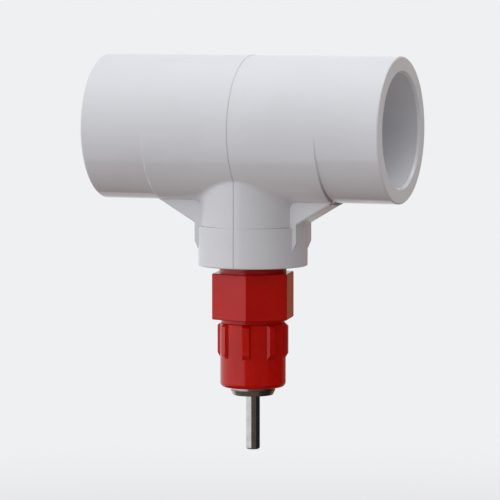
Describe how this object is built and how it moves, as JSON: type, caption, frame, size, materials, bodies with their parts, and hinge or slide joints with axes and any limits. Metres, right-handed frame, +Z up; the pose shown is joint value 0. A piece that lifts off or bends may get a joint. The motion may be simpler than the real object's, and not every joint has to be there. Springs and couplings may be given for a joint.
{
  "type": "poultry nipple drinker",
  "caption": "Push-pin poultry drinker: a red screw-in nipple valve with a steel trigger pin, hung from the branch of a white pipe tee.",
  "frame": {"origin": "middle of the left socket's mouth, where the water line's pipe enters and carries the drinker", "axes": "+X along the tee's run to its right mouth, +Z up away from the trigger pin, +Y across the run"},
  "size_m": [0.0597, 0.0278, 0.0754],
  "materials": {
    "white_pvc": "satin moulded PVC",
    "red_plastic": "glossy moulded acetal",
    "stainless": "turned and polished stainless steel",
    "black_rubber": "moulded rubber"
  },
  "bodies": {
    "fitting": {"pipe_tee": "white_pvc", "nipple_body": "red_plastic", "nipple_cap": "red_plastic", "lower_seat": "stainless", "upper_seat": "stainless", "body_o_ring": "black_rubber", "upper_o_ring": "black_rubber"},
    "trigger": {"trigger_pin": "stainless"},
    "metering": {"metering_pin": "stainless"}
  },
  "joints": [
    {"name": "trigger_tilt", "type": "hinge", "parent": "fitting", "child": "trigger", "pos_m": [0.03255, 0, -0.0466], "axis": [0, 1, 0], "range_deg": [0, 14]},
    {"name": "metering_lift", "type": "slide", "parent": "fitting", "child": "metering", "axis": [0, 0, 1], "range_m": [0, 0.00087]}
  ],
  "couplings": [
    {"joint": "metering_lift", "follows": "trigger_tilt", "m_per_rad": 0.003555}
  ]
}
